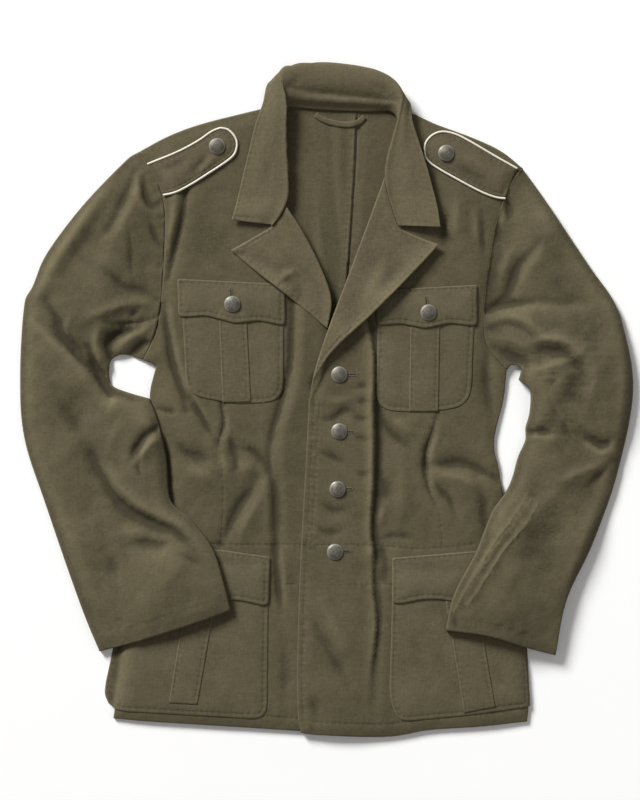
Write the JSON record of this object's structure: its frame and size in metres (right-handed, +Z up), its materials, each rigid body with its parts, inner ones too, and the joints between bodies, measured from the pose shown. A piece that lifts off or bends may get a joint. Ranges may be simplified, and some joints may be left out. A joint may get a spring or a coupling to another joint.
{
  "type": "tropical tunic",
  "caption": "Olive cotton twill field tunic laid flat with bent sleeves, notched collar, pleated flap pockets, piped shoulder straps and pebbled metal buttons.",
  "frame": {"origin": "middle of the tunic's outline on the surface that it lies on", "axes": "+Z up off the surface, out of the front of the tunic; +Y from the hem to the collar; +X to the wearer's left"},
  "size_m": [0.7238, 0.7965, 0.0295],
  "materials": {
    "body_twill": "washed olive-brown cotton twill, matt, with pressed creases",
    "sleeve_twill": "washed olive-brown cotton twill, matt, soft folds",
    "collar_twill": "two plies of olive-brown cotton twill with edge stitching",
    "pocket_twill": "olive-brown cotton twill patches with edge stitching",
    "strap_twill": "two plies of olive-brown cotton twill",
    "piping": "off-white corded piping",
    "button_metal": "grey painted pressed metal with a pebbled face"
  },
  "bodies": {
    "root": {"back_right": "body_twill", "front_right": "body_twill", "sleeve_under_right": "sleeve_twill", "sleeve_upper_right": "sleeve_twill", "lapel_right": "collar_twill", "chest_right_pocket": "pocket_twill", "chest_right_pleat": "pocket_twill", "chest_right_flap": "pocket_twill", "skirt_right_pocket": "pocket_twill", "skirt_right_pleat": "pocket_twill", "skirt_right_flap": "pocket_twill", "shoulder_strap_right": "strap_twill", "strap_piping_right": "piping", "chest_button_right": "button_metal", "strap_button_right": "button_metal", "back_left": "body_twill", "front_left": "body_twill", "sleeve_under_left": "sleeve_twill", "sleeve_upper_left": "sleeve_twill", "lapel_left": "collar_twill", "chest_left_pocket": "pocket_twill", "chest_left_pleat": "pocket_twill", "chest_left_flap": "pocket_twill", "skirt_left_pocket": "pocket_twill", "skirt_left_pleat": "pocket_twill", "skirt_left_flap": "pocket_twill", "shoulder_strap_left": "strap_twill", "strap_piping_left": "piping", "chest_button_left": "button_metal", "strap_button_left": "button_metal", "front_button_1": "button_metal", "front_button_2": "button_metal", "front_button_3": "button_metal", "front_button_4": "button_metal", "collar": "collar_twill", "hanger_loop": "body_twill"}
  },
  "joints": []
}
